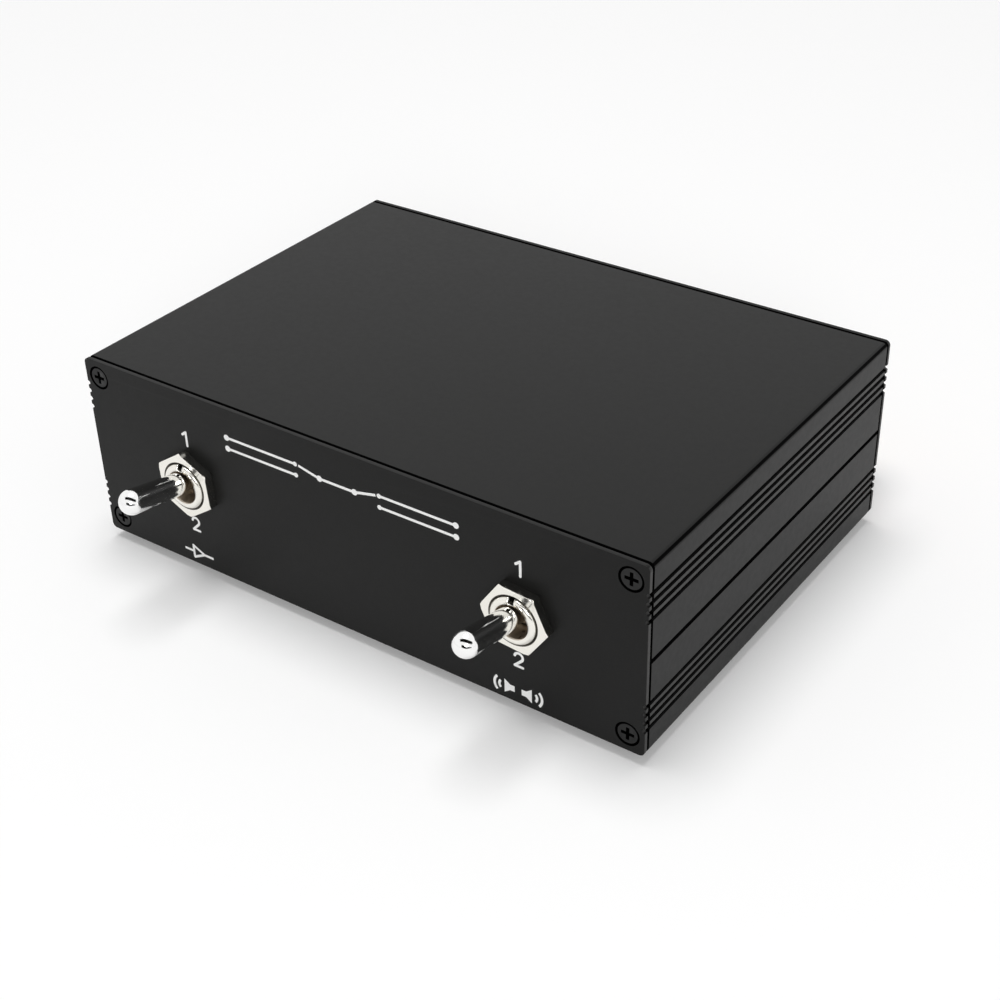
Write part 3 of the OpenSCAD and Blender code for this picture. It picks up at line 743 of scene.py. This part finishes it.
def lever(name):
    """The lever, turned with fine even faces so that its plating reflects cleanly."""
    motion = joint(f"{name}_switch_lever_tilt")
    pivot = Vector(motion["pos_m"])
    half_swing = math.radians(max(motion["range_deg"]) - min(motion["range_deg"])) / 2
    at_pivot = Matrix.Translation(pivot)
    tail_end = -math.degrees(math.acos(TAIL_R / BALL_R))
    neck_end = math.degrees(math.acos(NECK_R / BALL_R))
    shaft_from, shaft_to = Vector((ROOT_R, SHOULDER + ROOT_ROUND)), Vector((DOME_R, DOME_AT))
    outline = [
        (0, -TAIL), (TAIL_R, -TAIL),
        *round_points((0, 0), BALL_R, tail_end, neck_end, BALL_STEPS),
        (NECK_R, SHOULDER),
        *round_points((ROOT_R - ROOT_ROUND, SHOULDER + ROOT_ROUND), ROOT_ROUND, -90, 0, ROOT_STEPS),
        *(shaft_from.lerp(shaft_to, i / SHAFT_STEPS) for i in range(1, SHAFT_STEPS)),
        *round_points((0, DOME_AT), DOME_R, 0, 90, BALL_STEPS)[:-1],
        (0, DOME_AT + DOME_R)]
    made = bmesh.new()
    lathe(made, outline, at_pivot @ Matrix.Rotation(math.radians(90) - half_swing, 4, "X"))
    # Painted shade near the pivot.
    for face in made.faces:
        if (face.calc_center_median() - pivot).length < BALL_SHADE_REACH:
            face.material_index = FIRST
    lathe(made, [(0, -PIN), (PIN_R, -PIN), (PIN_R, PIN), (0, PIN)],
          at_pivot @ Matrix.Rotation(math.radians(90), 4, "Y"), PIN_STEPS)
    bmesh.ops.recalc_face_normals(made, faces=made.faces)
    dressed(f"{name}_switch_lever", made, ("greased_ball",))


def springs(name):
    """The springs behind the plungers, as a copy that stands in for their node and moves with its body.
    """
    node_name = f"{name}_switch_springs"
    node = frame["nodes"][node_name]
    mesh = node.data.copy()
    mesh.transform(node.matrix_world)
    mesh.materials.clear()
    slot = SLOT_OF[node_name]
    piece = piece_from(node_name + "_dressed", mesh, node["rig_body"], (slot,))
    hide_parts(node_name)
    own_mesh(piece)


# The bushing's mouth and throat lie within this radius.
BORE_R = 4.05 * MM


def darken_bore(name):
    """A function that paints shade on the inside of a switch's bushing."""
    def shape(made):
        for face in made.faces:
            centre = face.calc_center_median()
            in_bore = math.hypot(centre.x - switch_x(name), centre.z - SWITCH_Z) < BORE_R
            # Painted shade on the bushing's mouth and throat.
            if in_bore and abs(face.normal.y) < 0.97:
                face.material_index = FIRST
    return shape


def dress():
    for name in ("upper_shell", "lower_shell"):
        refined(name, break_shell, SHELL_FINISHES)
    for name in ("front_panel", "rear_panel"):
        refined(name, break_panel, PANEL_FINISHES)
    refined("switch_nuts", break_nut, NUT_FINISHES)
    refined("panel_screws", break_screws, ("joint_line",))
    for name in SWITCHES:
        lever(name)
        springs(name)
        refined(f"{name}_switch_bushing", darken_bore(name), ("nickel_bore",), flat=0)


# ---------- stage ----------

FLOOR_HALF = 3.0
FLOOR_COLOUR = (0.9, 0.9, 0.9)
# The floor's own glow where it is seen, and the distances from the middle over which it turns as
# white as the backdrop.
FLOOR_GLOW = 0.13
FADE_FROM, FADE_TO = 0.3, 1.1


def seen_or_reflected(nodes, links, path):
    """1 for rays of the camera, a mirror or a pane, and 0 for the light that falls on things."""
    first, second = nodes.new("ShaderNodeMath"), nodes.new("ShaderNodeMath")
    first.operation = second.operation = "MAXIMUM"
    links.new(path.outputs["Is Camera Ray"], first.inputs[0])
    links.new(path.outputs["Is Glossy Ray"], first.inputs[1])
    links.new(first.outputs[0], second.inputs[0])
    links.new(path.outputs["Is Transmission Ray"], second.inputs[1])
    return second.outputs[0]


def faded(material, near, path):
    """Turns the floor white with distance, for the camera alone."""
    nodes, links = material.node_tree.nodes, material.node_tree.links
    place = nodes.new("ShaderNodeTexCoord")
    away = nodes.new("ShaderNodeVectorMath")
    away.operation = "LENGTH"
    far = node_of(material, "ShaderNodeMapRange", From_Min=FADE_FROM, From_Max=FADE_TO)
    far.interpolation_type = "SMOOTHSTEP"
    seen = nodes.new("ShaderNodeMath")
    seen.operation = "MULTIPLY"
    white = node_of(material, "ShaderNodeEmission", Strength=1)
    made = nodes.new("ShaderNodeMixShader")
    links.new(place.outputs["Object"], away.inputs[0])
    links.new(away.outputs["Value"], far.inputs["Value"])
    links.new(far.outputs["Result"], seen.inputs[0])
    links.new(path.outputs["Is Camera Ray"], seen.inputs[1])
    links.new(seen.outputs[0], made.inputs["Fac"])
    links.new(near, made.inputs[1])
    links.new(white.outputs["Emission"], made.inputs[2])
    return made.outputs["Shader"]


def floor():
    made = bmesh.new()
    bmesh.ops.create_grid(made, x_segments=1, y_segments=1, size=FLOOR_HALF)
    piece = placed("floor", mesh_from("floor", made))
    material = principled("floor_white", FLOOR_COLOUR, rough=0.9, specular=0.1)
    nodes, links = material.node_tree.nodes, material.node_tree.links
    path = nodes.new("ShaderNodeLightPath")
    glow = node_of(material, "ShaderNodeEmission", Strength=FLOOR_GLOW)
    added = nodes.new("ShaderNodeAddShader")
    chosen = nodes.new("ShaderNodeMixShader")
    plain = nodes["Principled BSDF"].outputs["BSDF"]
    links.new(plain, added.inputs[0])
    links.new(glow.outputs["Emission"], added.inputs[1])
    links.new(seen_or_reflected(nodes, links, path), chosen.inputs["Fac"])
    links.new(plain, chosen.inputs[1])
    links.new(added.outputs["Shader"], chosen.inputs[2])
    shown = faded(material, chosen.outputs["Shader"], path)
    links.new(shown, nodes["Material Output"].inputs["Surface"])
    piece.data.materials.append(material)


DAYLIGHT = 0.3
# Painted reflections: dark gaps in the studio that only glossy rays see, and that take no light from
# anything. Each has its height over the horizon and half its width, in degrees, and how far it reaches
# to either side, as a sine.
# A gap runs across its heading, and tilts by the slope.
GAP_HEADING = (0.587, -0.81, 0)
GAP_ACROSS = (0.81, 0.587, 0)
GAPS = ((7, 11, 0.6), (58, 13, 0.72))
GAP_SLOPE = 0.35


def painted_reflection_gap(nodes, links, heading, height, half, reach):
    """1 inside a painted reflection of a dark gap in the studio, and 0 outside."""
    def calculate(operation, *values):
        made = nodes.new("ShaderNodeMath")
        made.operation = operation
        for socket, value in zip(made.inputs, values):
            if isinstance(value, (int, float)):
                socket.default_value = value
            else:
                links.new(value, socket)
        return made.outputs[0]

    def along(axis):
        made = nodes.new("ShaderNodeVectorMath")
        made.operation = "DOT_PRODUCT"
        made.inputs[1].default_value = axis
        links.new(heading, made.inputs[0])
        return made.outputs["Value"]

    over = calculate("ARCTAN2", along((0, 0, 1)), along(GAP_HEADING))
    across = along(GAP_ACROSS)
    level = calculate("ADD", over, calculate("MULTIPLY", across, GAP_SLOPE))
    off = calculate("ABSOLUTE", calculate("SUBTRACT", level, math.radians(height)))
    inside = calculate("LESS_THAN", off, math.radians(half))
    return calculate("MULTIPLY", inside, calculate("LESS_THAN", calculate("ABSOLUTE", across), reach))


def surroundings():
    """An even white studio. Only what mirrors it sees the painted reflections of dark gaps, which take
    no light away.
    """
    world = bpy.data.worlds.new("studio")
    bpy.context.scene.world = world
    world.use_nodes = True
    nodes, links = world.node_tree.nodes, world.node_tree.links
    nodes.clear()
    path, place = nodes.new("ShaderNodeLightPath"), nodes.new("ShaderNodeTexCoord")
    shown, lit = nodes.new("ShaderNodeBackground"), nodes.new("ShaderNodeBackground")
    lit.inputs["Color"].default_value = (1, 1, 1, 1)
    lit.inputs["Strength"].default_value = DAYLIGHT
    # Painted reflections: the dark gaps, seen by glossy rays alone.
    dark = nodes.new("ShaderNodeMath")
    dark.operation = "MAXIMUM"
    for socket, (height, half, reach) in zip(dark.inputs, GAPS):
        links.new(painted_reflection_gap(nodes, links, place.outputs["Generated"], height, half, reach), socket)
    seen, bright = nodes.new("ShaderNodeMath"), nodes.new("ShaderNodeMath")
    seen.operation, bright.operation = "MULTIPLY", "SUBTRACT"
    bright.inputs[0].default_value = 1
    links.new(dark.outputs[0], seen.inputs[0])
    links.new(path.outputs["Is Glossy Ray"], seen.inputs[1])
    links.new(seen.outputs[0], bright.inputs[1])
    links.new(bright.outputs[0], shown.inputs["Strength"])
    shown.inputs["Color"].default_value = (1, 1, 1, 1)
    chosen, out = nodes.new("ShaderNodeMixShader"), nodes.new("ShaderNodeOutputWorld")
    links.new(seen_or_reflected(nodes, links, path), chosen.inputs["Fac"])
    links.new(lit.outputs["Background"], chosen.inputs[1])
    links.new(shown.outputs["Background"], chosen.inputs[2])
    links.new(chosen.outputs["Shader"], out.inputs["Surface"])


# Each lamp's place, what it aims at, its width, and its power in watts.
LAMPS = {
    "overhead": ((-0.17, 0.1, 2), (0, 0, 0), 1.15, 23.3),
    "front_fill": ((1, -1.38, 0.83), (0, 0, 0.02), 0.7, 11.1),
}


def soft_lamp(name, place, aim, size, power):
    light = bpy.data.lights.new(name, "AREA")
    light.shape = "DISK"
    light.size = size
    light.energy = power
    lamp = placed(name, light)
    lamp.location = place
    lamp.rotation_euler = (Vector(aim) - Vector(place)).to_track_quat("-Z", "Y").to_euler()


# The photograph's view, fitted to the corners of the case, its screws and its switches.
CAMERA_PLACE = Vector((0.196268, FRONT - 0.215998, CASE_BOTTOM + 0.223054))
CAMERA_AZIMUTH = 35.933
CAMERA_ELEVATION = 33.314
CAMERA_ROLL = -1.49
CAMERA_LENS = 61.384
SENSOR = 36


def camera():
    data = bpy.data.cameras.new("camera")
    data.lens = CAMERA_LENS
    data.sensor_width = SENSOR
    data.clip_start = 0.01
    shot = placed("camera", data)
    turn, tilt = math.radians(CAMERA_AZIMUTH), math.radians(CAMERA_ELEVATION)
    back = Vector((math.sin(turn) * math.cos(tilt), -math.cos(turn) * math.cos(tilt), math.sin(tilt)))
    aimed = (-back).to_track_quat("-Z", "Y").to_matrix()
    rolled = aimed @ Matrix.Rotation(math.radians(CAMERA_ROLL), 3, "Z")
    shot.matrix_world = Matrix.Translation(CAMERA_PLACE) @ rolled.to_4x4()
    bpy.context.scene.camera = shot


dress()
printing()
floor()
surroundings()
for lamp_name, settings in LAMPS.items():
    soft_lamp(lamp_name, *settings)
camera()
bpy.context.scene.view_settings.view_transform = "Standard"
